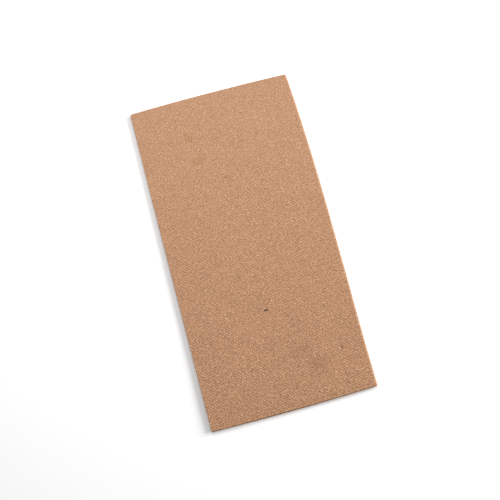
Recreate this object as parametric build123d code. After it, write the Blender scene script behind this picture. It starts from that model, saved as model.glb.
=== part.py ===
"""Paper napkin: one square sheet of embossed tissue, folded in half three times into an oblong pad.

Frame: +X across the pad, +Y along it, +Z up, in millimetres. The origin is the middle of the
pad's underside. The folds are made in this order:

  edge fold   the sheet is folded in half, along a line that ends up on the pad's left long edge
  end fold    the two layers are folded in half across, which makes the pad's far short edge
  spine fold  the four layers are folded in half along, which makes the pad's right long edge

The eight layers lie one above another. The near short edge is eight cut edges, and the left long
edge is four cut edges with the two turns of the edge fold above them.
"""

from build123d import *

import os

# Driving dimensions
SHEET_WIDTH = 400.0  # side of the open sheet that is folded twice across the pad
SHEET_LENGTH = 400.0  # side of the open sheet that is folded once along the pad
PAPER = 0.25  # thickness of the embossed tissue
FOLD_GAP = 0.05  # air between two layers that lie on each other

# What three folds in half make of the sheet
PAD_WIDTH = SHEET_WIDTH / 4
PAD_LENGTH = SHEET_LENGTH / 2
PITCH = PAPER + FOLD_GAP
QUIRE_LAYERS = 4  # layers on each side of the spine fold

# Turns: a fold's outer radius is half the height of the layers that it turns back on themselves
PAIR_RADIUS = (2 * PITCH - FOLD_GAP) / 2
QUIRE_RADIUS = (QUIRE_LAYERS * PITCH - FOLD_GAP) / 2
SPINE_RADIUS = (2 * QUIRE_LAYERS * PITCH - FOLD_GAP) / 2

# Places where the flat layers end and the turns begin
NEAR_Y = -PAD_LENGTH / 2
END_FOLD_Y = PAD_LENGTH / 2 - QUIRE_RADIUS
LEFT_X = -PAD_WIDTH / 2
EDGE_FOLD_X = LEFT_X + PAIR_RADIUS
SPINE_X = PAD_WIDTH / 2 - SPINE_RADIUS

# Heights of the fold axes
LOWER_QUIRE_Z = QUIRE_RADIUS
SPINE_Z = SPINE_RADIUS
UPPER_QUIRE_Z = 2 * SPINE_Z - LOWER_QUIRE_Z


def strip_section(outer_radius: float, axis_z: float) -> Face:
    """Section, across the end fold, of one layer that turns back over itself.

    Args:
        outer_radius: outside radius of the layer's turn.
        axis_z: height of the end fold's axis.

    Returns:
        A face in the YZ plane, at X = 0.
    """
    inner_radius = outer_radius - PAPER

    def corner(y: float, radius: float) -> tuple[float, float]:
        return (y, axis_z + radius)

    outline = [
        Line(corner(NEAR_Y, -outer_radius), corner(END_FOLD_Y, -outer_radius)),
        ThreePointArc(
            corner(END_FOLD_Y, -outer_radius),
            corner(END_FOLD_Y + outer_radius, 0),
            corner(END_FOLD_Y, outer_radius),
        ),
        Line(corner(END_FOLD_Y, outer_radius), corner(NEAR_Y, outer_radius)),
        Line(corner(NEAR_Y, outer_radius), corner(NEAR_Y, inner_radius)),
        Line(corner(NEAR_Y, inner_radius), corner(END_FOLD_Y, inner_radius)),
        ThreePointArc(
            corner(END_FOLD_Y, inner_radius),
            corner(END_FOLD_Y + inner_radius, 0),
            corner(END_FOLD_Y, -inner_radius),
        ),
        Line(corner(END_FOLD_Y, -inner_radius), corner(NEAR_Y, -inner_radius)),
        Line(corner(NEAR_Y, -inner_radius), corner(NEAR_Y, -outer_radius)),
    ]
    return Plane.YZ * make_face(outline)


def quire_section(axis_z: float) -> list[Face]:
    """The sections of the outer and the inner strip of a quire, whose end fold is at axis_z."""
    return [strip_section(radius, axis_z) for radius in (QUIRE_RADIUS, QUIRE_RADIUS - PITCH)]


def layers(axis_z: float, start_x: float) -> list[Solid]:
    """The four flat layers of a quire with their end fold, from start_x to the spine."""
    return [
        extrude(Pos(start_x, 0, 0) * face, amount=SPINE_X - start_x, dir=(1, 0, 0))
        for face in quire_section(axis_z)
    ]


def spine() -> list[Solid]:
    """The four turns that carry the lower quire's layers round into the upper quire's."""
    axis = Axis((SPINE_X, 0, SPINE_Z), (0, -1, 0))
    return [
        revolve(Pos(SPINE_X, 0, 0) * face, axis=axis, revolution_arc=180)
        for face in quire_section(LOWER_QUIRE_Z)
    ]


def turn_section(axis_z: float) -> Face:
    """Half ring, open to the right, that joins two neighbouring layers at the edge fold.

    Args:
        axis_z: height of the middle of the gap between the two layers.

    Returns:
        A face in the XZ plane, at Y = 0.
    """
    ring = Circle(PAIR_RADIUS) - Circle(PAIR_RADIUS - PAPER)
    right_half = Pos(PAIR_RADIUS, 0) * Rectangle(2 * PAIR_RADIUS, 2 * PAIR_RADIUS)
    return Pos(EDGE_FOLD_X, 0, axis_z) * (Plane.XZ * (ring - right_half))


def edge_fold() -> list[Solid]:
    """The edge fold of the upper quire: along its top pair, round the end fold, and back."""
    offset = QUIRE_RADIUS - PAIR_RADIUS
    run = END_FOLD_Y - NEAR_Y
    top = turn_section(UPPER_QUIRE_Z + offset)
    bottom = turn_section(UPPER_QUIRE_Z - offset)
    end_axis = Axis((0, END_FOLD_Y, UPPER_QUIRE_Z), (-1, 0, 0))
    return [
        extrude(Pos(0, NEAR_Y, 0) * top, amount=run, dir=(0, 1, 0)),
        revolve(Pos(0, END_FOLD_Y, 0) * top, axis=end_axis, revolution_arc=180),
        extrude(Pos(0, NEAR_Y, 0) * bottom, amount=run, dir=(0, 1, 0)),
    ]


def napkin() -> Solid:
    """The folded sheet, as one solid."""
    pieces = [
        *layers(LOWER_QUIRE_Z, LEFT_X),
        *layers(UPPER_QUIRE_Z, EDGE_FOLD_X),
        *spine(),
        *edge_fold(),
    ]
    first, *rest = pieces
    return first.fuse(*rest).clean().solid()


os.makedirs("parts", exist_ok=True)
folded = napkin()
export_step(folded, "parts/napkin.step")
print("napkin", folded.is_valid, round(folded.volume, 2), folded.bounding_box().size)
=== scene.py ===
"""Paper napkin: one square sheet of brown embossed tissue, folded in half three times.

The sheet is laid out flat as a closed mesh. A Geometry Nodes tree then presses the dots into it,
turns it over itself at the edge fold, the end fold and the spine fold, and lets it relax. The
folded pad lies on a pale floor under soft light, and a camera looks down on it.

Sheet coordinates, in metres, are used before the folds:
  across   from one cut edge at 0 to the other; it is folded at the spine, the edge fold and the
           spine again
  along    from the near cut edge at 0 to the other cut edge; it is folded once, at the end fold
  through  height over the middle of the paper's thickness; the outer side faces down
"""

import logging
import math
from dataclasses import dataclass, fields
from enum import Enum

import bmesh
import bpy
import numpy as np
from mathutils import Matrix, Vector


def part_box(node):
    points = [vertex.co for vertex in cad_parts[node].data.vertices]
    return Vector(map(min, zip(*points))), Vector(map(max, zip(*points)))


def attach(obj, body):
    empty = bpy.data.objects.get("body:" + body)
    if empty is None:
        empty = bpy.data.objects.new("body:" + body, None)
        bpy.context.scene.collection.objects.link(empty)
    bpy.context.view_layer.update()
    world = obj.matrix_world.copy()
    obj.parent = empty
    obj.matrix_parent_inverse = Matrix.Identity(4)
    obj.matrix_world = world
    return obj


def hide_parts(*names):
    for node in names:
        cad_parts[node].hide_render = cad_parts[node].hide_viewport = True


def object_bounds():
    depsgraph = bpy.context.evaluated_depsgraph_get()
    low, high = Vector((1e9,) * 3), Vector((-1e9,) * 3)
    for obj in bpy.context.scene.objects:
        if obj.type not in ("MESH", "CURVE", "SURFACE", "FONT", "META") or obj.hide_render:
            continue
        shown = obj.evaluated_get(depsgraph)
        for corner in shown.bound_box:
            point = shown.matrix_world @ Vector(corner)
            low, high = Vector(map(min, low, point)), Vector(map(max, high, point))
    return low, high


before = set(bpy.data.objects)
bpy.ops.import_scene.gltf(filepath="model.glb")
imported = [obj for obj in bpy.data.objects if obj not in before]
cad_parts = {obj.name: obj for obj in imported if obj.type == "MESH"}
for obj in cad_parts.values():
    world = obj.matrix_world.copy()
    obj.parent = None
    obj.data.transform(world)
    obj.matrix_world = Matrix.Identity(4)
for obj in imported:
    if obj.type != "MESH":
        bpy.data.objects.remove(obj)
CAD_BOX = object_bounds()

log = logging.getLogger("napkin")

MM = 0.001
BODY = "root"
NODE = "napkin"
SHEET_UV = "sheet"
DOT_ATTRIBUTE = "dots"


class Side(Enum):
    """The two sides of the sheet: OUTER shows on the folded pad, INNER is folded away."""

    OUTER = -1
    INNER = 1


class Facets(Enum):
    """How a square of the sheet's grid is cut into triangles."""

    WHOLE = "one four-sided face"
    RIDGED = "two triangles that meet on the ridge between two dots"
    CENTRED = "four triangles that meet in the middle"


# ---------------------------------------------------------------------------------------------
# Node trees
# ---------------------------------------------------------------------------------------------


class Signal:
    """One output socket, which adds Math nodes when it is used in arithmetic."""

    def __init__(self, bench: "NodeBench", socket: bpy.types.NodeSocket) -> None:
        """Wrap a socket.

        Args:
            bench: the bench of the tree that the socket is in.
            socket: the output socket.
        """
        self.bench = bench
        self.socket = socket

    def math(self, operation: str, *others: "Signal | float", first: bool = True) -> "Signal":
        """Add a Math node.

        Args:
            operation: the node's operation.
            others: its other values.
            first: whether this signal is its first value, or its last.

        Returns:
            The node's result.
        """
        values = [self, *others] if first else [*others, self]
        return self.bench.add("ShaderNodeMath", {"operation": operation}, dict(enumerate(values)))

    def __add__(self, other: "Signal | float") -> "Signal":
        """Sum."""
        return self.math("ADD", other)

    def __sub__(self, other: "Signal | float") -> "Signal":
        """Difference."""
        return self.math("SUBTRACT", other)

    def __rsub__(self, other: float) -> "Signal":
        """Difference, with this signal taken from a number."""
        return self.math("SUBTRACT", other, first=False)

    def __mul__(self, other: "Signal | float") -> "Signal":
        """Product."""
        return self.math("MULTIPLY", other)

    def __truediv__(self, other: "Signal | float") -> "Signal":
        """Quotient."""
        return self.math("DIVIDE", other)

    def __pow__(self, other: float) -> "Signal":
        """Power."""
        return self.math("POWER", other)

    __radd__ = __add__
    __rmul__ = __mul__

    def sine(self) -> "Signal":
        """Sine of an angle in radians."""
        return self.math("SINE")

    def cosine(self) -> "Signal":
        """Cosine of an angle in radians."""
        return self.math("COSINE")

    def at_least(self, other: "Signal | float") -> "Signal":
        """The larger of this and another value."""
        return self.math("MAXIMUM", other)

    def at_most(self, other: "Signal | float") -> "Signal":
        """The smaller of this and another value."""
        return self.math("MINIMUM", other)

    def within_one(self) -> "Signal":
        """This value, kept between 0 and 1."""
        return self.at_least(0.0).at_most(1.0)

    def fade(self, start: "Signal | float", end: "Signal | float") -> "Signal":
        """Smooth step over a range of this value.

        Args:
            start: where the step is 0.
            end: where it is 1.

        Returns:
            The step's value.
        """
        return self.bench.add(
            "ShaderNodeMapRange",
            {"interpolation_type": "SMOOTHSTEP"},
            {"Value": self, "From Min": start, "From Max": end},
        )


class NodeBench:
    """Adds nodes to one tree, of shader or of geometry nodes."""

    def __init__(self, tree: bpy.types.NodeTree) -> None:
        """Start on a tree.

        Args:
            tree: the tree, which may already hold nodes.
        """
        self.tree = tree

    def feed(self, socket: bpy.types.NodeSocket, value: object) -> None:
        """Link a signal to an input socket, or set the socket's own value.

        Args:
            socket: the input socket.
            value: a signal, or what the socket's default value takes.
        """
        if isinstance(value, Signal):
            self.tree.links.new(value.socket, socket)
        else:
            socket.default_value = value

    def add(
        self,
        kind: str,
        settings: dict[str, object] | None = None,
        sockets: dict[str | int, object] | None = None,
        output: str | int = 0,
    ) -> Signal:
        """Add a node, set it up, and feed it.

        Args:
            kind: the node's type name.
            settings: attributes of the node, set first.
            sockets: input socket name or number, and the value or signal that feeds it.
            output: name or number of the output socket that is wanted.

        Returns:
            That output.
        """
        node = self.tree.nodes.new(kind)
        for name, value in (settings or {}).items():
            setattr(node, name, value)
        for name, value in (sockets or {}).items():
            self.feed(node.inputs[name], value)
        return Signal(self, node.outputs[output])

    def outputs_of(self, signal: Signal) -> bpy.types.bpy_prop_collection:
        """All outputs of the node that a signal comes from."""
        return signal.socket.node.outputs

    def parts(self, vector: Signal) -> tuple[Signal, Signal, Signal]:
        """The X, Y and Z of a vector."""
        split = self.add("ShaderNodeSeparateXYZ", sockets={0: vector})
        return tuple(Signal(self, socket) for socket in self.outputs_of(split))

    def vector(self, x: Signal | float, y: Signal | float, z: Signal | float = 0.0) -> Signal:
        """A vector from its X, Y and Z."""
        return self.add("ShaderNodeCombineXYZ", sockets={0: x, 1: y, 2: z})

    def vector_math(
        self, operation: str, *values: object, output: str = "Vector", **named: float
    ) -> Signal:
        """Add a Vector Math node.

        Args:
            operation: the node's operation.
            values: its vectors, in order.
            output: name of the output that is wanted.
            named: other sockets' values, by name.

        Returns:
            The node's result.
        """
        sockets = {**dict(enumerate(values)), **named}
        return self.add("ShaderNodeVectorMath", {"operation": operation}, sockets, output)

    def noise(self, place: Signal, scale: float, detail: float, seed: "Signal | float") -> Signal:
        """Smooth noise about 0.

        Args:
            place: where to read it.
            scale: how many features it has in one unit of place.
            detail: octaves of finer noise on top.
            seed: which noise it is.

        Returns:
            The noise's value, between -1 and 1.
        """
        value = self.add(
            "ShaderNodeTexNoise",
            {"noise_dimensions": "4D"},
            {"Vector": place, "W": seed, "Scale": scale, "Detail": detail},
        )
        return (value - 0.5) * 2.0

    def cells(self, place: Signal, size: float) -> tuple[Signal, Signal]:
        """Small irregular cells side by side.

        Args:
            place: where to read them.
            size: size of a cell, in the units of place.

        Returns:
            The distance from the cell's middle, as a share of its size, and the cell's random value.
        """
        sockets = {"Vector": place, "Scale": 1.0 / size}
        distance = self.add("ShaderNodeTexVoronoi", {"voronoi_dimensions": "2D"}, sockets)
        value = self.parts(Signal(self, self.outputs_of(distance)["Color"]))[0]
        return distance, value

    def flakes(self, place: Signal, length: float, width: float, turn: float, seed: int) -> Signal:
        """Flat irregular flakes, each with its own random value.

        Args:
            place: where to read them.
            length: size of a flake the long way, in the units of place.
            width: its size the short way.
            turn: the way that it lies, in degrees.
            seed: which flakes these are.

        Returns:
            The flake's value, from 0 to 1.
        """
        turned = self.add(
            "ShaderNodeMapping",
            sockets={
                "Vector": place,
                "Location": (seed * 7.3, seed * 3.1, 0.0),  # far from the other flakes
                "Rotation": (0.0, 0.0, math.radians(turn)),
                "Scale": (1.0 / length, 1.0 / width, 1.0),
            },
        )
        return self.cells(turned, 1.0)[1]

    def blend(self, share: Signal | float, first: object, second: object, how: str = "MIX") -> Signal:
        """Mix two colours.

        Args:
            share: how much of the second there is.
            first: a colour or a signal.
            second: a colour or a signal.
            how: the Mix node's blend type.

        Returns:
            The mixed colour.
        """
        sockets = {0: share, 6: first, 7: second}  # the Mix node's sockets for colours
        return self.add("ShaderNodeMix", {"data_type": "RGBA", "blend_type": how}, sockets, 2)

    def shade(self, colour: object, roughness: object, gloss: float, others: dict[str, object]) -> None:
        """Add the shader and the material's output.

        Args:
            colour: the base colour, as a value or a signal.
            roughness: the roughness, as a value or a signal.
            gloss: the level of the mirror-like reflection.
            others: what feeds the shader's other sockets, by name.
        """
        sockets = {"Base Color": colour, "Roughness": roughness, "Specular IOR Level": gloss, **others}
        shader = self.add("ShaderNodeBsdfPrincipled", sockets=sockets)
        self.feed(self.tree.nodes.new("ShaderNodeOutputMaterial").inputs["Surface"], shader)


def new_material(name: str) -> tuple[bpy.types.Material, NodeBench]:
    """Make an empty material.

    Args:
        name: its name.

    Returns:
        The material, and a bench on its tree.
    """
    finish = bpy.data.materials.new(name)
    finish.use_nodes = True
    finish.node_tree.nodes.clear()
    return finish, NodeBench(finish.node_tree)


def new_object(name: str, data: bpy.types.ID) -> bpy.types.Object:
    """Make an object and put it in the scene.

    Args:
        name: its name.
        data: its mesh, light or camera.

    Returns:
        The object.
    """
    item = bpy.data.objects.new(name, data)
    bpy.context.scene.collection.objects.link(item)
    return item


# ---------------------------------------------------------------------------------------------
# The folded sheet
# ---------------------------------------------------------------------------------------------


@dataclass(frozen=True)
class Turn:
    """One fold's half turn on the flat sheet: where it begins, and its outer radius."""

    start: float
    radius: float

    @property
    def end(self) -> float:
        """Where the turn ends."""
        return self.start + math.pi * self.radius

    @property
    def middle(self) -> float:
        """Where the fold's ridge is."""
        return (self.start + self.end) / 2


@dataclass(frozen=True)
class FoldPlan:
    """Where the folds lie on the sheet, from the size of the folded pad."""

    width: float
    length: float
    height: float
    layers: int = 8
    gap: float = 0.09 * MM

    @classmethod
    def of_node(cls, node: str) -> "FoldPlan":
        """The plan whose folded sheet fills a CAD node's box."""
        low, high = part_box(node)
        return cls(*(top - bottom for bottom, top in zip(low, high)))

    @property
    def paper(self) -> float:
        """Thickness of the sheet."""
        return (self.height - (self.layers - 1) * self.gap) / self.layers

    def radius(self, layers: int) -> float:
        """Outer radius of a turn that lays a number of layers, in all, on each other."""
        return (layers * (self.paper + self.gap) - self.gap) / 2

    @property
    def spine(self) -> Turn:
        """The spine fold, across the sheet, which makes eight layers."""
        radius = self.radius(self.layers)
        return Turn(self.width - radius, radius)

    @property
    def edge(self) -> Turn:
        """The edge fold, across the sheet, which makes two layers."""
        radius = self.radius(self.layers // 4)
        return Turn(self.spine.end + self.width - self.spine.radius - radius, radius)

    @property
    def far(self) -> Turn:
        """The end fold, along the sheet, which makes four layers."""
        radius = self.radius(self.layers // 2)
        return Turn(self.length - radius, radius)

    @property
    def across(self) -> float:
        """The sheet's size across."""
        return self.edge.start + self.edge.end

    @property
    def along(self) -> float:
        """The sheet's size along."""
        return self.far.start + self.far.end

    def top_point(self, x: float, y: float) -> tuple[float, float]:
        """The point of the sheet that shows on top of the pad.

        Args:
            x: place across the pad, from its middle.
            y: place along the pad, from its middle.

        Returns:
            Its place across and along the sheet.
        """
        across = self.spine.end + (self.width / 2 - self.spine.radius - x)
        return across, y + self.length / 2


@dataclass(frozen=True)
class Stretch:
    """A stretch of the sheet in one direction: its end, its grid steps and its steps of dots."""

    end: float
    steps: int
    dots: float


@dataclass(frozen=True)
class GridLines:
    """Places of grid lines in one direction, with the count of dots up to each of them."""

    places: np.ndarray
    dots: np.ndarray

    @classmethod
    def through(cls, start: float, stretches: list[Stretch]) -> "GridLines":
        """Lines over several stretches, one after another.

        Args:
            start: where the first stretch begins.
            stretches: the stretches, in order.

        Returns:
            The lines, with both ends.
        """
        places, counts = [np.array([start])], [np.array([0.0])]
        for stretch in stretches:
            places.append(np.linspace(places[-1][-1], stretch.end, stretch.steps + 1)[1:])
            counts.append(counts[-1][-1] + np.linspace(0, stretch.dots, stretch.steps + 1)[1:])
        return cls(np.concatenate(places), np.concatenate(counts))

    def nearest(self, place: float) -> int:
        """The number of the line nearest to a place."""
        return int(np.argmin(abs(self.places - place)))


class FlatSheet:
    """The closed mesh of the sheet before it is folded, fine where the folded pad shows it."""

    FINE = 1.0 * MM  # half of the spacing of the dots' rows
    COARSE = 6.0 * MM
    BORDER = 4.0 * MM  # a strip at each cut edge that is fine on hidden panels too
    SPINE_STEPS = 8
    EDGE_STEPS = 6
    END_STEPS = 8

    def __init__(self, plan: FoldPlan) -> None:
        """Start an empty mesh.

        Args:
            plan: where the folds lie.
        """
        self.plan = plan
        self.points: list[np.ndarray] = []
        self.dots: list[np.ndarray] = []
        self.faces: list[tuple[int, ...]] = []
        self.smooth: list[bool] = []
        self.count = 0

    def fine(self, marks: list[tuple[float, int]]) -> GridLines:
        """Lines over the panels that show and the turns beside them, with the dots counted.

        Args:
            marks: the end of each stretch, and its steps if it is a turn, or 0.

        Returns:
            The lines.
        """
        stretches, place = [], 0.0
        for end, steps in marks:
            dots = round((end - place) / self.FINE)
            stretches.append(Stretch(end, steps or dots, dots))
            place = end
        return GridLines.through(0.0, stretches)

    def coarse(self, start: float, marks: list[tuple[float, bool]]) -> GridLines:
        """Lines over panels that don't show.

        Args:
            start: where they begin.
            marks: the end of each stretch, and whether it is a turn.

        Returns:
            The lines.
        """
        stretches, place = [], start
        for end, turns in marks:
            pace = self.FINE if end - place < self.COARSE else self.COARSE
            steps = self.SPINE_STEPS if turns else max(1, round((end - place) / pace))
            stretches.append(Stretch(end, steps, 0.0))
            place = end
        return GridLines.through(start, stretches)

    def add_points(self, across: np.ndarray, along: np.ndarray, side: Side, dots: np.ndarray) -> np.ndarray:
        """Add points to one side of the sheet.

        Args:
            across: their places across the sheet.
            along: their places along it.
            side: the side that they are on.
            dots: their counts of dots across and along, and the weight of the dots there.

        Returns:
            Their numbers.
        """
        through = np.full(len(across), side.value * self.plan.paper / 2)
        self.points.append(np.column_stack([across, along, through]))
        self.dots.append(dots)
        first, self.count = self.count, self.count + len(across)
        return np.arange(first, self.count)

    def add_grid(self, across: GridLines, along: GridLines, side: Side, weight: float) -> np.ndarray:
        """Add the points of a grid.

        Args:
            across: its lines across.
            along: its lines along.
            side: the side that it is on.
            weight: the weight of the dots on it.

        Returns:
            The points' numbers, as rows across and columns along.
        """
        a, b = np.meshgrid(across.places, along.places, indexing="ij")
        da, db = np.meshgrid(across.dots, along.dots, indexing="ij")
        dots = np.column_stack([da.ravel(), db.ravel(), np.full(a.size, weight)])
        return self.add_points(a.ravel(), b.ravel(), side, dots).reshape(a.shape)

    def add_faces(self, corners: np.ndarray, smooth: bool) -> None:
        """Add faces.

        Args:
            corners: a row of point numbers for each face.
            smooth: whether they are shaded as a smooth surface.
        """
        self.faces.extend(map(tuple, corners.tolist()))
        self.smooth.extend([smooth] * len(corners))

    def fill(self, grid: np.ndarray, facets: Facets = Facets.WHOLE) -> None:
        """Add the faces of a grid, or of a part of it.

        Args:
            grid: the points' numbers.
            facets: how each square is cut.
        """
        squares = np.stack([grid[:-1, :-1], grid[1:, :-1], grid[1:, 1:], grid[:-1, 1:]], axis=-1)
        corners = squares.reshape(-1, 4)
        if facets is Facets.WHOLE:
            self.add_faces(corners, True)
            return
        dots = np.concatenate(self.dots)
        if facets is Facets.RIDGED:
            even = np.round(dots[corners[:, 0], :2].sum(axis=1)) % 2 == 0
            a, b, c, d = np.where(even[:, None], np.roll(corners, -1, axis=1), corners).T
            self.add_faces(np.column_stack([a, b, c]), False)
            self.add_faces(np.column_stack([a, c, d]), False)
            return
        places = np.concatenate(self.points)[corners].mean(axis=1)
        middles = self.add_points(places[:, 0], places[:, 1], Side.OUTER, dots[corners].mean(axis=1))
        for k in range(4):
            triangles = np.column_stack([corners[:, k], corners[:, (k + 1) % 4], middles])
            self.add_faces(triangles, False)

    def bridge(self, first: np.ndarray, second: np.ndarray, direction: int) -> None:
        """Fill the strip between two lines of points that need not have the same steps.

        Args:
            first: the points' numbers on one line.
            second: those on the other, in the same order.
            direction: 0 if the lines run across the sheet, 1 if they run along it.
        """
        points = np.concatenate(self.points)
        place_a, place_b = points[first, direction], points[second, direction]
        strip = []
        i = j = 0
        while i < len(first) - 1 or j < len(second) - 1:
            step_first = j == len(second) - 1 or (
                i < len(first) - 1 and place_a[i + 1] + place_a[i] <= place_b[j + 1] + place_b[j]
            )
            if step_first:
                strip.append((first[i], first[i + 1], second[j]))
                i += 1
            else:
                strip.append((first[i], second[j + 1], second[j]))
                j += 1
        self.add_faces(np.array(strip), False)

    def lay_out(self) -> None:
        """Add both sides of the sheet and its cut edges."""
        plan = self.plan
        fine_across = self.fine([
            (plan.spine.start, 0),
            (plan.spine.end, self.SPINE_STEPS),
            (plan.edge.start, 0),
            (plan.edge.end, self.EDGE_STEPS),
        ])
        fine_along = self.fine([(plan.far.start, 0), (plan.far.end, self.END_STEPS)])
        rest_across = [
            (plan.across - plan.spine.end, False),
            (plan.across - plan.spine.start, True),
            (plan.across - self.BORDER, False),
            (plan.across, False),
        ]
        first_across = [
            (self.BORDER, False),
            (plan.spine.start, False),
            (plan.spine.end, True),
            (plan.edge.start, False),
            (plan.edge.end, True),
        ]
        last_along = [(plan.along - self.BORDER, False), (plan.along, False)]
        all_along = [(self.BORDER, False), (plan.far.start, False), (plan.far.end, True)] + last_along
        whole_across = self.coarse(0.0, first_across + rest_across)
        whole_along = self.coarse(0.0, all_along)

        # the shown panels: the pad's underside, its spine and its top
        shown = self.add_grid(fine_across, fine_along, Side.OUTER, 1.0)
        turn = fine_along.nearest(plan.far.start)
        lower = fine_across.nearest(plan.spine.start)
        upper = fine_across.nearest(plan.spine.end)
        edge = fine_across.nearest(plan.edge.start)
        self.fill(shown[: lower + 1, : turn + 1], Facets.RIDGED)
        self.fill(shown[lower : upper + 1, : turn + 1])
        self.fill(shown[upper : edge + 1, : turn + 1], Facets.CENTRED)
        self.fill(shown[edge:, : turn + 1])
        self.fill(shown[:, turn:])

        # the hidden panels of the outer side: past the edge fold, and past the end fold
        step = self.COARSE
        past_edge = self.coarse(plan.edge.end + step, rest_across)
        past_end = self.coarse(plan.far.end + step, last_along)
        beyond = self.add_grid(past_edge, whole_along, Side.OUTER, 0.0)
        back = self.add_grid(self.coarse(0.0, first_across), past_end, Side.OUTER, 0.0)
        self.fill(beyond)
        self.fill(back)
        near = whole_along.nearest(plan.far.end)
        self.bridge(shown[:, -1], back[:, 0], 0)
        self.bridge(shown[-1, :], beyond[0, : near + 1], 1)
        self.bridge(np.append(shown[-1, -1], back[-1, :]), beyond[0, near:], 1)

        # the inner side, and the cut edges between the two sides
        inner = self.add_grid(whole_across, whole_along, Side.INNER, 0.0)
        self.fill(inner)
        self.bridge(np.concatenate([shown[:, 0], beyond[:, 0]]), inner[:, 0], 0)
        self.bridge(np.concatenate([back[:, -1], beyond[:, -1]]), inner[:, -1], 0)
        self.bridge(np.concatenate([shown[0, :], back[0, :]]), inner[0, :], 1)
        self.bridge(beyond[-1, :], inner[-1, :], 1)

    def build(self) -> bpy.types.Object:
        """Make the flat sheet's object, with its UV map and its dot counts.

        Returns:
            The object.
        """
        self.lay_out()
        points, dots = np.concatenate(self.points), np.concatenate(self.dots)
        mesh = bpy.data.meshes.new("flat_sheet")
        mesh.from_pydata(points.tolist(), [], self.faces)
        mesh.polygons.foreach_set("use_smooth", self.smooth)
        shape = bmesh.new()
        shape.from_mesh(mesh)
        bmesh.ops.recalc_face_normals(shape, faces=shape.faces)
        shape.to_mesh(mesh)
        shape.free()
        counts = mesh.attributes.new(DOT_ATTRIBUTE, "FLOAT_VECTOR", "POINT")
        counts.data.foreach_set("vector", dots.ravel().astype(np.float32))
        corners = np.empty(len(mesh.loops), dtype=np.int32)
        mesh.loops.foreach_get("vertex_index", corners)
        shares = points[corners, :2] / [self.plan.across, self.plan.along]
        uv = mesh.uv_layers.new(name=SHEET_UV)
        uv.data.foreach_set("uv", shares.ravel().astype(np.float32))
        return new_object("flat_sheet", mesh)


@dataclass(frozen=True)
class Sway:
    """How far a cut edge lies inside the ideal one, as a slow wave in shares of the cuts' spread."""

    middle: float
    swing: float
    turns: float  # whole waves along the edge
    start: float = 0.0  # the wave's angle where the edge begins

    def at(self, share: Signal) -> Signal:
        """The wave's value at a share of the edge's length."""
        return self.middle + self.swing * (share * (self.turns * math.tau) + self.start).cosine()


@dataclass(frozen=True)
class Looseness:
    """How far the folded pad is from a perfect one, in metres unless it says otherwise.

    Each plain number is an input of the tree, under the same name in capitals.
    """

    dot_depth: float = 0.17 * MM
    dot_sharpness: float = 2.0  # power of the dots' rounding; a larger one gives smaller dots
    dot_fade: float = 0.85  # share of their depth that the dots lose on the way to the end fold
    dot_patches: float = 1.6  # how uneven the pressure on the dots is
    dot_least: float = 0.05  # the least pressure, as a share of the usual one
    dot_deepest: float = 0.85  # of the paper's thickness
    right_bow: float = 1.35 * MM
    right_skew: float = 0.85  # how far the right bow leans towards the far end
    left_bow: float = 0.2 * MM
    far_bow: float = 0.8 * MM
    near_bow: float = 0.62 * MM
    near_skew: float = 0.35 * MM
    cut_spread: float = 0.55 * MM  # how far the cut edges lie inside each other
    cut_press: float = 0.12  # share of the height that the knife pressed out of the cut end
    cut_press_width: float = 3 * MM
    opening_least: float = 0.10  # share of the openings that is left at the end fold
    opening_power: float = 2.2  # how fast they grow towards the cut end
    opening_at_spine: float = 0.5  # their share there, of what they are at the edge fold
    opening_patches: float = 0.65  # how uneven they are
    ripple: float = 0.14 * MM
    ripple_size: float = 16 * MM
    wave_height: float = 0.10  # share of the pad's height
    wave_size: float = 55 * MM
    edge_wander: float = 0.12 * MM
    seed: float = 3.7
    openings: tuple[float, ...] = (0.0, 0.15, 0.0, 0.30, 0.05, 0.20, 0.15)  # at the cut end, in mm
    near_cut: Sway = Sway(-0.4, -0.5, 1.0, -0.875 * math.tau)
    far_cut: Sway = Sway(0.7, 0.45, 1.0, 1.0 - math.pi / 2)
    first_cut: Sway = Sway(0.3, 0.4, 0.5)
    last_cut: Sway = Sway(0.8, 0.3, 0.5)


def dot_rounding(across: Signal, along: Signal) -> Signal:
    """The dots' round shape, from the counts of dots: 0 between them to 1 in a dot's middle."""
    return ((across * math.pi).cosine() * (along * math.pi).cosine() + 1.0) / 2.0


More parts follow.
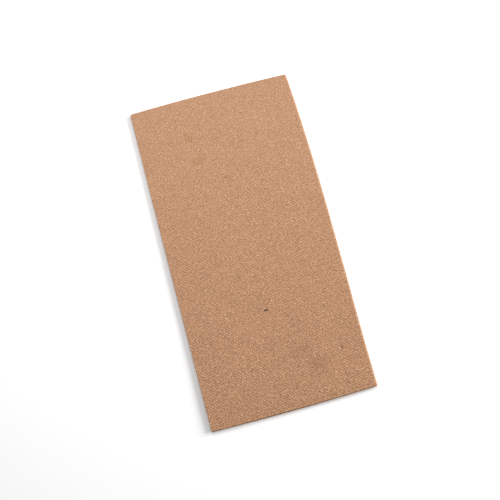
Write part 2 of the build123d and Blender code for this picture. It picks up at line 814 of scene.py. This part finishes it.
class FoldingTree:
    """Geometry Nodes that emboss the flat sheet, fold it three times and let it relax."""

    PATCH_SCALE = 0.055  # patches of pressure in one step of the dots
    OPENING_SCALE = (1.3, 1.1)  # patches of the openings in half the pad, across and along
    WANDER_SCALE = 1.6  # wanders of the edges in one wave of the pad

    def __init__(self, plan: FoldPlan, looseness: Looseness) -> None:
        """Build the tree.

        Args:
            plan: where the folds lie.
            looseness: how far the pad is from a perfect one.
        """
        self.plan = plan
        self.looseness = looseness
        self.tree = bpy.data.node_groups.new("Fold the sheet", "GeometryNodeTree")
        self.bench = NodeBench(self.tree)
        self.values: dict[str, float] = {}
        self.inputs = self.declare_inputs()
        self.build()

    def declare_inputs(self) -> dict[str, Signal]:
        """Name the tree's inputs, and keep the value that each is given.

        Returns:
            The signal of each input, by its name.
        """
        plan, loose = self.plan, self.looseness
        slack = {field.name: getattr(loose, field.name) for field in fields(loose)}
        turns = {"Spine": plan.spine, "Edge": plan.edge, "End": plan.far}
        self.values = {
            "Pad Width": plan.width,
            "Pad Length": plan.length,
            **{f"{name} Crease": turn.start for name, turn in turns.items()},
            **{f"{name} Turn": turn.end - turn.start for name, turn in turns.items()},
            **{f"{name} Axis": turn.radius - plan.paper / 2 for name, turn in turns.items()},
            "Sheet Across": plan.across,
            "Sheet Along": plan.along,
            "Paper": plan.paper,
            "Gap": plan.gap,
            **{f"Opening {k + 1}": size * MM for k, size in enumerate(loose.openings)},
            **{name.replace("_", " ").title(): v for name, v in slack.items() if isinstance(v, float)},
        }
        ports = self.tree.interface
        ports.new_socket("Geometry", in_out="INPUT", socket_type="NodeSocketGeometry")
        ports.new_socket("Finish", in_out="INPUT", socket_type="NodeSocketMaterial")
        for name in self.values:
            ports.new_socket(name, in_out="INPUT", socket_type="NodeSocketFloat")
        ports.new_socket("Geometry", in_out="OUTPUT", socket_type="NodeSocketGeometry")
        source = self.bench.add("NodeGroupInput")
        return {s.name: Signal(self.bench, s) for s in self.bench.outputs_of(source) if s.name}

    def fold_group(self) -> bpy.types.GeometryNodeTree:
        """The group that turns a flat stack over itself at one crease.

        Returns:
            A group with the inputs Along, Through, Crease, Turn and Axis, and the outputs Along
            and Through.
        """
        group = bpy.data.node_groups.new("Fold over", "GeometryNodeTree")
        for name in ("Along", "Through", "Crease", "Turn", "Axis"):
            group.interface.new_socket(name, in_out="INPUT", socket_type="NodeSocketFloat")
        for name in ("Along", "Through"):
            group.interface.new_socket(name, in_out="OUTPUT", socket_type="NodeSocketFloat")
        bench = NodeBench(group)
        ports = bench.outputs_of(bench.add("NodeGroupInput"))
        along, through, crease, turn, axis = (Signal(bench, socket) for socket in ports[:5])
        past = along - crease
        angle = (past / turn).within_one() * math.pi
        reach = axis - through
        flat = along.at_most(crease) - (past - turn).at_least(0.0)
        results = {0: flat + reach * angle.sine(), 1: axis - reach * angle.cosine()}
        sink = group.nodes.new("NodeGroupOutput")
        for number, signal in results.items():
            bench.feed(sink.inputs[number], signal)
        return group

    def fold(
        self, group: bpy.types.GeometryNodeTree, along: Signal, through: Signal, name: str
    ) -> tuple[Signal, Signal]:
        """Turn the stack over at one of the named folds.

        Args:
            group: the group that folds.
            along: place in the direction that is folded.
            through: height in the stack.
            name: the fold's name, as the tree's inputs have it.

        Returns:
            The new place and height.
        """
        turned = self.bench.add(
            "GeometryNodeGroup",
            {"node_tree": group},
            {
                "Along": along,
                "Through": through,
                "Crease": self.inputs[f"{name} Crease"],
                "Turn": self.inputs[f"{name} Turn"],
                "Axis": self.inputs[f"{name} Axis"],
            },
        )
        first, second = self.bench.outputs_of(turned)
        return Signal(self.bench, first), Signal(self.bench, second)

    def dot_height(self, along: Signal) -> Signal:
        """How far the dots press the outer side in.

        Args:
            along: place along the flat sheet.

        Returns:
            The depth, which is smaller towards the end fold.
        """
        bench, ports = self.bench, self.inputs
        named = {"data_type": "FLOAT_VECTOR"}
        counts = bench.add("GeometryNodeInputNamedAttribute", named, {"Name": DOT_ATTRIBUTE})
        dots_across, dots_along, weight = bench.parts(counts)
        patches = bench.noise(counts, self.PATCH_SCALE, detail=3.0, seed=ports["Seed"])
        pressure = (1.0 + ports["Dot Patches"] * patches).at_least(ports["Dot Least"])
        pressure = pressure * (1.0 + ports["Dot Fade"] * (0.5 - along / ports["End Crease"]))
        # no dot is cut through at the near and the first cut edge
        weight = weight * (dots_across.at_most(dots_along) * 2.0).within_one()
        rounding = dot_rounding(dots_across, dots_along).math("POWER", ports["Dot Sharpness"])
        depth = ports["Dot Depth"] * rounding * weight * pressure
        return depth.at_most(ports["Paper"] * ports["Dot Deepest"])

    def uneven_cuts(self, across: Signal, along: Signal) -> tuple[Signal, Signal]:
        """Move the cut edges a little, as a sheet that isn't folded quite in half has them.

        Args:
            across: place across the flat sheet.
            along: place along it.

        Returns:
            The moved places.
        """
        bench, ports, loose = self.bench, self.inputs, self.looseness
        share_across = across / ports["Sheet Across"]
        share_along = along / ports["Sheet Along"]
        edges = (
            (loose.near_cut, share_across, along, ports["End Crease"]),
            (loose.far_cut, share_across, ports["Sheet Along"] - along, ports["End Crease"]),
            (loose.first_cut, share_along, across, ports["Spine Crease"]),
            (loose.last_cut, share_along, ports["Sheet Across"] - across, ports["Spine Crease"]),
        )
        near, far, first, last = (
            ports["Cut Spread"] * sway.at(share) * (1.0 - inward / reach).at_least(0.0)
            for sway, share, inward, reach in edges
        )
        flat = bench.vector(across / ports["Ripple Size"], along / ports["Ripple Size"])
        ripple_across, ripple_along = (
            bench.noise(flat, scale=1.0, detail=2.0, seed=ports["Seed"] + number) * ports["Ripple"]
            for number in (13.0, 17.0)
        )
        return across + first - last + ripple_across, along + near - far + ripple_along

    def open_up(self, x: Signal, y: Signal, z: Signal) -> Signal:
        """Lift the upper layers off the lower ones, most of all at the cut end.

        Args:
            x: place across the pad, as a share of half its width.
            y: place along it, as a share of half its length.
            z: height over the floor.

        Returns:
            How far the layers at that height are lifted.
        """
        bench, ports = self.bench, self.inputs
        pitch = ports["Paper"] + ports["Gap"]
        least, scale_x, scale_y = ports["Opening Least"], *self.OPENING_SCALE
        towards_cut = ((1.0 - y) * 0.5).math("POWER", ports["Opening Power"])
        along_pad = least + (1.0 - least) * towards_cut
        across_pad = 1.0 - (1.0 - ports["Opening At Spine"]) * (x + 1.0) * 0.5
        place = bench.vector(x * scale_x, y * scale_y)
        lift: Signal | float = 0.0
        for number, size in enumerate(self.looseness.openings, start=1):
            if size == 0.0:
                continue
            below = pitch * float(number) - ports["Gap"]
            above = z.fade(below, below + ports["Gap"])
            seed = ports["Seed"] + (20.0 + number)
            patches = bench.noise(place, scale=1.0, detail=1.0, seed=seed)
            patch = 1.0 + ports["Opening Patches"] * patches
            lift = above * along_pad * across_pad * patch * ports[f"Opening {number}"] + lift
        return lift

    def relax(self, x: Signal, y: Signal, z: Signal) -> Signal:
        """Bow the pad's sides, and let it rise and sink a little.

        Args:
            x: place across the pad, from its middle.
            y: place along it, from its middle.
            z: height over the floor.

        Returns:
            The new place.
        """
        bench, ports = self.bench, self.inputs
        half_x = x / (ports["Pad Width"] * 0.5)
        half_y = y / (ports["Pad Length"] * 0.5)
        right, far = (half_x + 1.0) / 2.0, (half_y + 1.0) / 2.0
        belly_y, belly_x = 1.0 - half_y * half_y, 1.0 - half_x * half_x
        right_bow = ports["Right Bow"] * belly_y * (1.0 + ports["Right Skew"] * half_y) * right * right
        left_bow = ports["Left Bow"] * belly_y * (1.0 - right) * (1.0 - right)
        far_bow = ports["Far Bow"] * belly_x * far * far
        near_bow = (ports["Near Bow"] * belly_x - ports["Near Skew"] * half_x) * (1.0 - far) * (1.0 - far)
        flat = bench.vector(x / ports["Wave Size"], y / ports["Wave Size"])
        rise = bench.noise(flat, scale=1.0, detail=1.0, seed=ports["Seed"]) * ports["Wave Height"]
        wander_x, wander_y = (
            bench.noise(flat, self.WANDER_SCALE, detail=1.0, seed=ports["Seed"] + number)
            * ports["Edge Wander"]
            for number in (5.0, 9.0)
        )
        from_cut = (half_y + 1.0) * ports["Pad Length"] * 0.5
        press = ports["Cut Press"] * (1.0 - from_cut.fade(0.0, ports["Cut Press Width"]))
        return bench.vector(
            x + right_bow - left_bow + wander_x,
            y + far_bow - near_bow + wander_y,
            z * (1.0 + rise - press) + self.open_up(half_x, half_y, z),
        )

    def build(self) -> None:
        """Add the nodes, from the flat sheet to the folded pad."""
        bench, ports = self.bench, self.inputs
        across, along, through = bench.parts(bench.add("GeometryNodeInputPosition"))
        group = self.fold_group()
        pressed = through + self.dot_height(along)
        across, along = self.uneven_cuts(across, along)
        across, pressed = self.fold(group, across, pressed, "Edge")
        along, pressed = self.fold(group, along, pressed, "End")
        across, pressed = self.fold(group, across, pressed, "Spine")
        place = self.relax(
            across - ports["Pad Width"] * 0.5,
            along - ports["Pad Length"] * 0.5,
            pressed + ports["Paper"] * 0.5,
        )
        moved = bench.add(
            "GeometryNodeSetPosition", sockets={"Geometry": ports["Geometry"], "Position": place}
        )
        real = bench.add("GeometryNodeRealizeInstances", sockets={"Geometry": moved})
        dressed = bench.add(
            "GeometryNodeSetMaterial", sockets={"Geometry": real, "Material": ports["Finish"]}
        )
        sink = self.tree.nodes.new("NodeGroupOutput")
        bench.feed(sink.inputs["Geometry"], dressed)

    def apply_to(self, sheet: bpy.types.Object, finish: bpy.types.Material, name: str) -> bpy.types.Object:
        """Fold a flat sheet, and keep the result as a plain mesh.

        Args:
            sheet: the flat sheet, which is removed.
            finish: the material of the folded one.
            name: the folded one's name.

        Returns:
            The folded sheet.
        """
        modifier = sheet.modifiers.new("Fold", "NODES")
        modifier.node_group = self.tree
        values = {**self.values, "Finish": finish}
        for item in self.tree.interface.items_tree:
            if item.in_out == "INPUT" and item.name in values:
                modifier[item.identifier] = values[item.name]
        sheet.update_tag()
        graph = bpy.context.evaluated_depsgraph_get()
        mesh = bpy.data.meshes.new_from_object(sheet.evaluated_get(graph), depsgraph=graph)
        sheet.modifiers.remove(modifier)
        bpy.data.objects.remove(sheet)
        mesh.name = name
        return new_object(name, mesh)


# ---------------------------------------------------------------------------------------------
# Finishes
# ---------------------------------------------------------------------------------------------


@dataclass(frozen=True)
class FibreLayer:
    """Fibres that lie one way: their size in millimetres and their direction in degrees."""

    length: float
    width: float
    turn: float


FIBRE_LAYERS = (
    FibreLayer(0.64, 0.23, 12.0),
    FibreLayer(0.54, 0.22, 57.0),
    FibreLayer(0.54, 0.22, 103.0),
    FibreLayer(0.54, 0.22, 148.0),
)


@dataclass(frozen=True)
class Mark:
    """A speck or a patch on the pad's top, in millimetres from the pad's middle."""

    x: float
    y: float
    radius: float
    softness: float  # width of its fading rim
    strength: float
    colour: tuple[float, float, float, float]
    stretch: float = 1.0  # its size across, over its size along


# what is left of the tissue's colour under a speck or a patch
SPECK = (0.20, 0.185, 0.20, 1.0)
OCHRE = (0.88, 0.82, 0.68, 1.0)
DARKER_PATCH = (0.72, 0.66, 0.60, 1.0)

MARKS = (
    Mark(-1.0, -40.2, 0.32, 0.60, 0.95, SPECK, 2.0),
    Mark(36.1, -72.8, 0.20, 0.50, 0.75, SPECK),
    Mark(-3.9, 44.7, 0.22, 0.50, 0.75, SPECK),
    Mark(-2.5, 45.5, 0.15, 0.50, 0.65, SPECK),
    Mark(-19.4, 75.1, 1.4, 3.4, 0.65, OCHRE, 0.8),
    Mark(-16.9, 59.3, 1.0, 3.2, 0.65, OCHRE, 1.3),
    # darker patches towards the near end, right of the middle
    Mark(11.8, -68.8, 0.8, 5.0, 0.36, DARKER_PATCH, 1.5),
    Mark(19.7, -78.2, 1.5, 6.5, 0.42, DARKER_PATCH, 1.2),
)


@dataclass(frozen=True)
class KraftTissue:
    """Unbleached tissue: brown, matt and fibrous, with a few specks of bark."""

    plan: FoldPlan
    colour: tuple[float, float, float, float] = (0.416, 0.2320, 0.1350, 1.0)
    warm: tuple[float, float, float, float] = (0.56, 0.289, 0.155, 1.0)
    warm_share: float = 0.25
    warm_change: float = 0.175
    warm_size: float = 5.0  # millimetres, like the sizes below
    painted_warm_light: tuple[float, float, float, float] = (1.0, 0.972, 0.935, 1.0)  # painted warmer light, strongest at the near cut end: what is left of the colour there
    mottle: float = 0.06
    mottle_size: float = 14.0
    fibre: float = 1.60
    fibre_bend: float = 0.9
    fibre_bend_scale: float = 0.8
    grit: float = 0.76
    grit_size: float = 0.95
    grit_middle: float = 0.43  # the grit's mean, as a share of its size
    grain_fade: float = 0.45  # share of its contrast that the grain loses on the way to the end fold
    # painted shade in the pressed dots
    dot_painted_shade: float = 0.20
    dot_middle: float = 0.4  # the dots' painted shade is 0 there
    crease_wear: float = 0.05
    crease_reach: float = 2.2  # of a fold's radius
    crease_core: float = 0.6
    crease_rim: float = 0.3  # millimetres more
    # lighter cut edges: a little fluff, and painted light over their shade
    cut_wear_and_painted_light: float = 0.20
    cut_fluff: float = 0.5
    least_tone: float = 0.2
    tone_powers: tuple[float, float, float] = (1.0, 1.15, 1.3)  # darker fibres are redder
    bark_spacing: float = 9.0
    bark_share: float = 0.10  # of the places where a speck of bark could be
    bark_size: float = 0.22
    bark_rim: float = 0.03
    bark_strength: float = 0.35
    mark_ragged: float = 0.4  # how uneven a mark's outline is
    mark_lobes: float = 0.25  # lobes of the outline in the mark's own size
    mark_ripples: float = 0.2  # finer ones, in a millimetre
    relief: float = 0.05 * MM
    fine_relief: float = 0.25
    fine_relief_scale: float = 2.2
    roughness: float = 0.85
    rough_fibres: float = 0.25
    smooth_dots: float = 0.14
    gloss: float = 0.35

    def fibres(self, bench: NodeBench, place: Signal) -> Signal:
        """Short fibres that lie in all directions, each lighter or darker than its neighbours.

        Args:
            bench: the bench of the material's tree.
            place: place on the sheet, in millimetres.

        Returns:
            A value about 0.
        """
        sockets = {"Vector": place, "Scale": self.fibre_bend_scale, "Detail": 1.0}
        bent = bench.add("ShaderNodeTexNoise", sockets=sockets, output="Color")
        bend = bench.vector_math("SCALE", bent, Scale=self.fibre_bend)
        place = bench.vector_math("ADD", place, bend)
        total: Signal | float = 0.0
        for seed, layer in enumerate(FIBRE_LAYERS, start=1):
            total = bench.flakes(place, layer.length, layer.width, layer.turn, seed) + total
        return total / float(len(FIBRE_LAYERS)) - 0.5

    def dots(self, bench: NodeBench) -> Signal:
        """Where the pressed dots are.

        Args:
            bench: the bench of the material's tree.

        Returns:
            A mask, 1 in the middle of a dot.
        """
        counts = bench.add("ShaderNodeAttribute", {"attribute_name": DOT_ATTRIBUTE}, output="Vector")
        across, along, weight = bench.parts(counts)
        return dot_rounding(across, along) ** 2.0 * weight

    def bark(self, bench: NodeBench, place: Signal) -> Signal:
        """Sparse small specks all over the sheet.

        Args:
            bench: the bench of the material's tree.
            place: place on the sheet, in millimetres.

        Returns:
            A mask, 1 on a speck.
        """
        distance, pick = bench.cells(place, self.bark_spacing)
        size = (pick - (1.0 - self.bark_share)).at_least(0.0) * self.bark_size
        return 1.0 - (distance - size).fade(0.0, self.bark_rim)

    def mark_mask(self, bench: NodeBench, place: Signal, mark: Mark) -> Signal:
        """Where one mark is, and how strong.

        Args:
            bench: the bench of the material's tree.
            place: place on the sheet, in millimetres.
            mark: the mark.

        Returns:
            A mask.
        """
        across, along = self.plan.top_point(mark.x * MM, mark.y * MM)
        off = bench.vector_math("SUBTRACT", place, (across / MM, along / MM, 0.0))
        squeezed = bench.vector_math("MULTIPLY", off, (1 / mark.stretch, 1.0, 1.0))
        distance = bench.vector_math("LENGTH", squeezed, output="Value")
        size = mark.radius + mark.softness
        lobes = self.mark_lobes / size + self.mark_ripples
        ragged = bench.noise(place, lobes, detail=2.0, seed=8.0) * self.mark_ragged
        return (distance * (1.0 + ragged)).fade(size, mark.radius) * mark.strength

    def crease_mask(self, across: Signal, along: Signal) -> Signal:
        """Where the sheet is turned, and its colour is made lighter.

        Args:
            across: place across the sheet, in millimetres.
            along: place along it, in millimetres.

        Returns:
            A mask, 1 on a fold's ridge.
        """
        plan = self.plan
        ridges = ((across, plan.spine), (across, plan.edge), (along, plan.far))
        spine, edge, end = (
            (place - turn.middle / MM).math("ABSOLUTE").fade(
                self.crease_reach * turn.radius / MM + self.crease_rim,
                self.crease_core * turn.radius / MM,
            )
            for place, turn in ridges
        )
        return spine.at_least(edge).at_least(end)

    def cut_mask(self, across: Signal, along: Signal) -> Signal:
        """Where the sheet was cut: its edge is a little fluffy, and painted light there lifts the shade of
        the cut edges.

        Args:
            across: place across the sheet, in millimetres.
            along: place along it, in millimetres.

        Returns:
            A mask, 1 on a cut edge.
        """
        other = (self.plan.across / MM - across).at_most(self.plan.along / MM - along)
        return across.at_most(along).at_most(other).fade(self.cut_fluff, 0.0)

    def material(self) -> bpy.types.Material:
        """Make the material.

        Returns:
            The material.
        """
        finish, bench = new_material("kraft_tissue")
        uv = bench.add("ShaderNodeUVMap", {"uv_map": SHEET_UV})
        place = bench.vector_math("MULTIPLY", uv, (self.plan.across / MM, self.plan.along / MM, 1.0))
        across, along, _ = bench.parts(place)

        fibres = self.fibres(bench, place)
        grit = bench.cells(place, self.grit_size)[0] - self.grit_middle
        dots = self.dots(bench) - self.dot_middle
        share = (along / (self.plan.far.start / MM)).at_most(1.0)
        grain = (self.fibre * fibres + self.grit * grit) * (1.0 + self.grain_fade * (0.5 - share))
        tone = 1.0 + grain + self.mottle * bench.noise(place, 1 / self.mottle_size, detail=2.0, seed=1.0)
        # lighter along the folds' ridges
        tone = tone + self.crease_wear * self.crease_mask(across, along)
        # the cut edges lighter: fluff, and painted light over their shade
        tone = tone + self.cut_wear_and_painted_light * self.cut_mask(across, along)
        # painted shade in the pressed dots, and a little painted light on the ground between them
        tone = (tone - self.dot_painted_shade * dots).at_least(self.least_tone)
        tint = bench.vector(*(tone**power for power in self.tone_powers))
        colour = bench.blend(1.0, self.colour, tint, "MULTIPLY")
        warmth = bench.noise(place, 1 / self.warm_size, detail=2.0, seed=6.0)
        warmth = self.warm_change * warmth + self.warm_share
        colour = bench.blend(warmth.within_one(), colour, self.warm)
        # painted warmer light, strongest at the near cut end and gone at the end fold
        colour = bench.blend(1.0 - share, colour, self.painted_warm_light, "MULTIPLY")
        colour = bench.blend(self.bark(bench, place) * self.bark_strength, colour, SPECK, "MULTIPLY")
        for mark in MARKS:
            colour = bench.blend(self.mark_mask(bench, place, mark), colour, mark.colour, "MULTIPLY")

        bumps = bench.noise(place, self.fine_relief_scale, detail=3.0, seed=7.0)
        height = self.fine_relief * bumps + fibres
        bump = bench.add("ShaderNodeBump", sockets={"Distance": self.relief, "Height": height})
        rough = self.roughness + self.rough_fibres * fibres - self.smooth_dots * dots
        bench.shade(colour, rough.at_most(1.0), self.gloss, {"Normal": bump})
        return finish


@dataclass(frozen=True)
class PaleFloor:
    """Matt white board under the napkin."""

    side: float = 6.0
    colour: tuple[float, float, float, float] = (0.99, 0.99, 0.99, 1.0)
    roughness: float = 0.85
    gloss: float = 0.1
    glow: float = 0.07  # the board is a light table, lit a little from below

    def build(self) -> bpy.types.Object:
        """Lay the floor at the height that the napkin lies on.

        Returns:
            The floor.
        """
        half, level = self.side / 2, CAD_BOX[0][2]
        corners = [(-half, -half, level), (half, -half, level), (half, half, level), (-half, half, level)]
        mesh = bpy.data.meshes.new("floor")
        mesh.from_pydata(corners, [], [(0, 1, 2, 3)])
        finish, bench = new_material("floor_board")
        glow = {"Emission Color": self.colour, "Emission Strength": self.glow}
        bench.shade(self.colour, self.roughness, self.gloss, glow)
        mesh.materials.append(finish)
        return new_object("floor", mesh)


# ---------------------------------------------------------------------------------------------
# Napkin, light and camera
# ---------------------------------------------------------------------------------------------


@dataclass(frozen=True)
class Napkin:
    """The folded napkin, as one piece."""

    plan: FoldPlan
    looseness: Looseness
    sheet_side: float = 400 * MM  # the side of the square sheet, as it is cut

    def build(self) -> bpy.types.Object:
        """Returns:
            The folded sheet.
        """
        flat = FlatSheet(self.plan).build()
        finish = KraftTissue(self.plan).material()
        tree = FoldingTree(self.plan, self.looseness)
        sheet = tree.apply_to(flat, finish, "napkin_sheet")
        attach(sheet, BODY)
        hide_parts(NODE)
        return sheet


@dataclass(frozen=True)
class SoftBox:
    """A round soft light that faces the middle of the floor."""

    name: str
    share: float  # of a white surface's brightness
    size: float
    distance: float
    bearing: float  # degrees from +Y towards +X
    height: float  # degrees over the floor

    def build(self) -> bpy.types.Object:
        """Add the light.

        Returns:
            The light.
        """
        bearing, height = math.radians(self.bearing), math.radians(self.height)
        way = Vector((
            math.sin(bearing) * math.cos(height),
            math.cos(bearing) * math.cos(height),
            math.sin(height),
        ))
        data = bpy.data.lights.new(self.name, "AREA")
        data.shape = "DISK"
        data.size = self.size
        data.energy = self.share * math.pi**2 * self.distance**2 / way.z
        box = new_object(self.name, data)
        box.location = way * self.distance
        box.rotation_euler = way.to_track_quat("Z", "Y").to_euler()
        return box


@dataclass(frozen=True)
class Studio:
    """Soft lights over the far end and the right side, in a pale room."""

    overhead: SoftBox = SoftBox("overhead", 0.46, 0.30, 0.32, -4.0, 62.0)
    side: SoftBox = SoftBox("side", 0.57, 1.3, 2.0, 82.0, 28.0)
    room: float = 0.27

    def build(self) -> None:
        """Add the lights and the room's light."""
        self.overhead.build()
        self.side.build()
        world = bpy.data.worlds.new("room")
        world.use_nodes = True
        world.node_tree.nodes.clear()
        bench = NodeBench(world.node_tree)
        sockets = {"Color": (1.0, 1.0, 1.0, 1.0), "Strength": self.room}
        shade = bench.add("ShaderNodeBackground", sockets=sockets)
        bench.feed(world.node_tree.nodes.new("ShaderNodeOutputWorld").inputs["Surface"], shade)
        bpy.context.scene.world = world


@dataclass(frozen=True)
class DownwardCamera:
    """A camera that looks down on the pad, with the pad turned a little in its view."""

    lens: float = 72.0
    sensor: float = 36.0
    distance: float = 600.7 * MM
    tilt: float = 12.2  # degrees from straight down, towards the pad's near end
    lean: float = 1.26  # degrees from straight down, sideways
    turn: float = 15.07  # degrees that the pad is turned anticlockwise in the view
    aim_right: float = 0.0 * MM  # how far the view's middle is from the pad's
    aim_up: float = -2.65 * MM

    def build(self) -> bpy.types.Object:
        """Add the camera and make it the scene's.

        Returns:
            The camera.
        """
        data = bpy.data.cameras.new("camera")
        data.lens = self.lens
        data.sensor_width = self.sensor
        data.clip_start = 0.01
        camera = new_object("camera", data)
        turns = ((-self.tilt, "X"), (-self.lean, "Y"), (self.turn, "Z"))
        tilt, lean, turn = (Matrix.Rotation(math.radians(angle), 3, axis) for angle, axis in turns)
        to_room = (tilt @ lean @ turn).transposed()
        middle = Vector((0.0, 0.0, CAD_BOX[1][2]))
        camera.location = middle + to_room @ Vector((self.aim_right, self.aim_up, self.distance))
        camera.rotation_euler = to_room.to_euler()
        bpy.context.scene.camera = camera
        return camera


def main() -> None:
    """Build the napkin, the floor, the lights and the camera."""
    logging.basicConfig(level=logging.INFO, format="%(name)s: %(message)s")
    plan = FoldPlan.of_node(NODE)
    sheet = Napkin(plan, Looseness()).build()
    log.info("%s: %d points, %d faces", sheet.name, len(sheet.data.vertices), len(sheet.data.polygons))
    floor = PaleFloor().build()
    log.info("%s: %.1f m square", floor.name, PaleFloor.side)
    Studio().build()
    camera = DownwardCamera().build()
    log.info("%s: at %s", camera.name, tuple(round(c, 3) for c in camera.location))
    bpy.context.scene.view_settings.view_transform = "Standard"


if __name__ == "__main__":
    main()
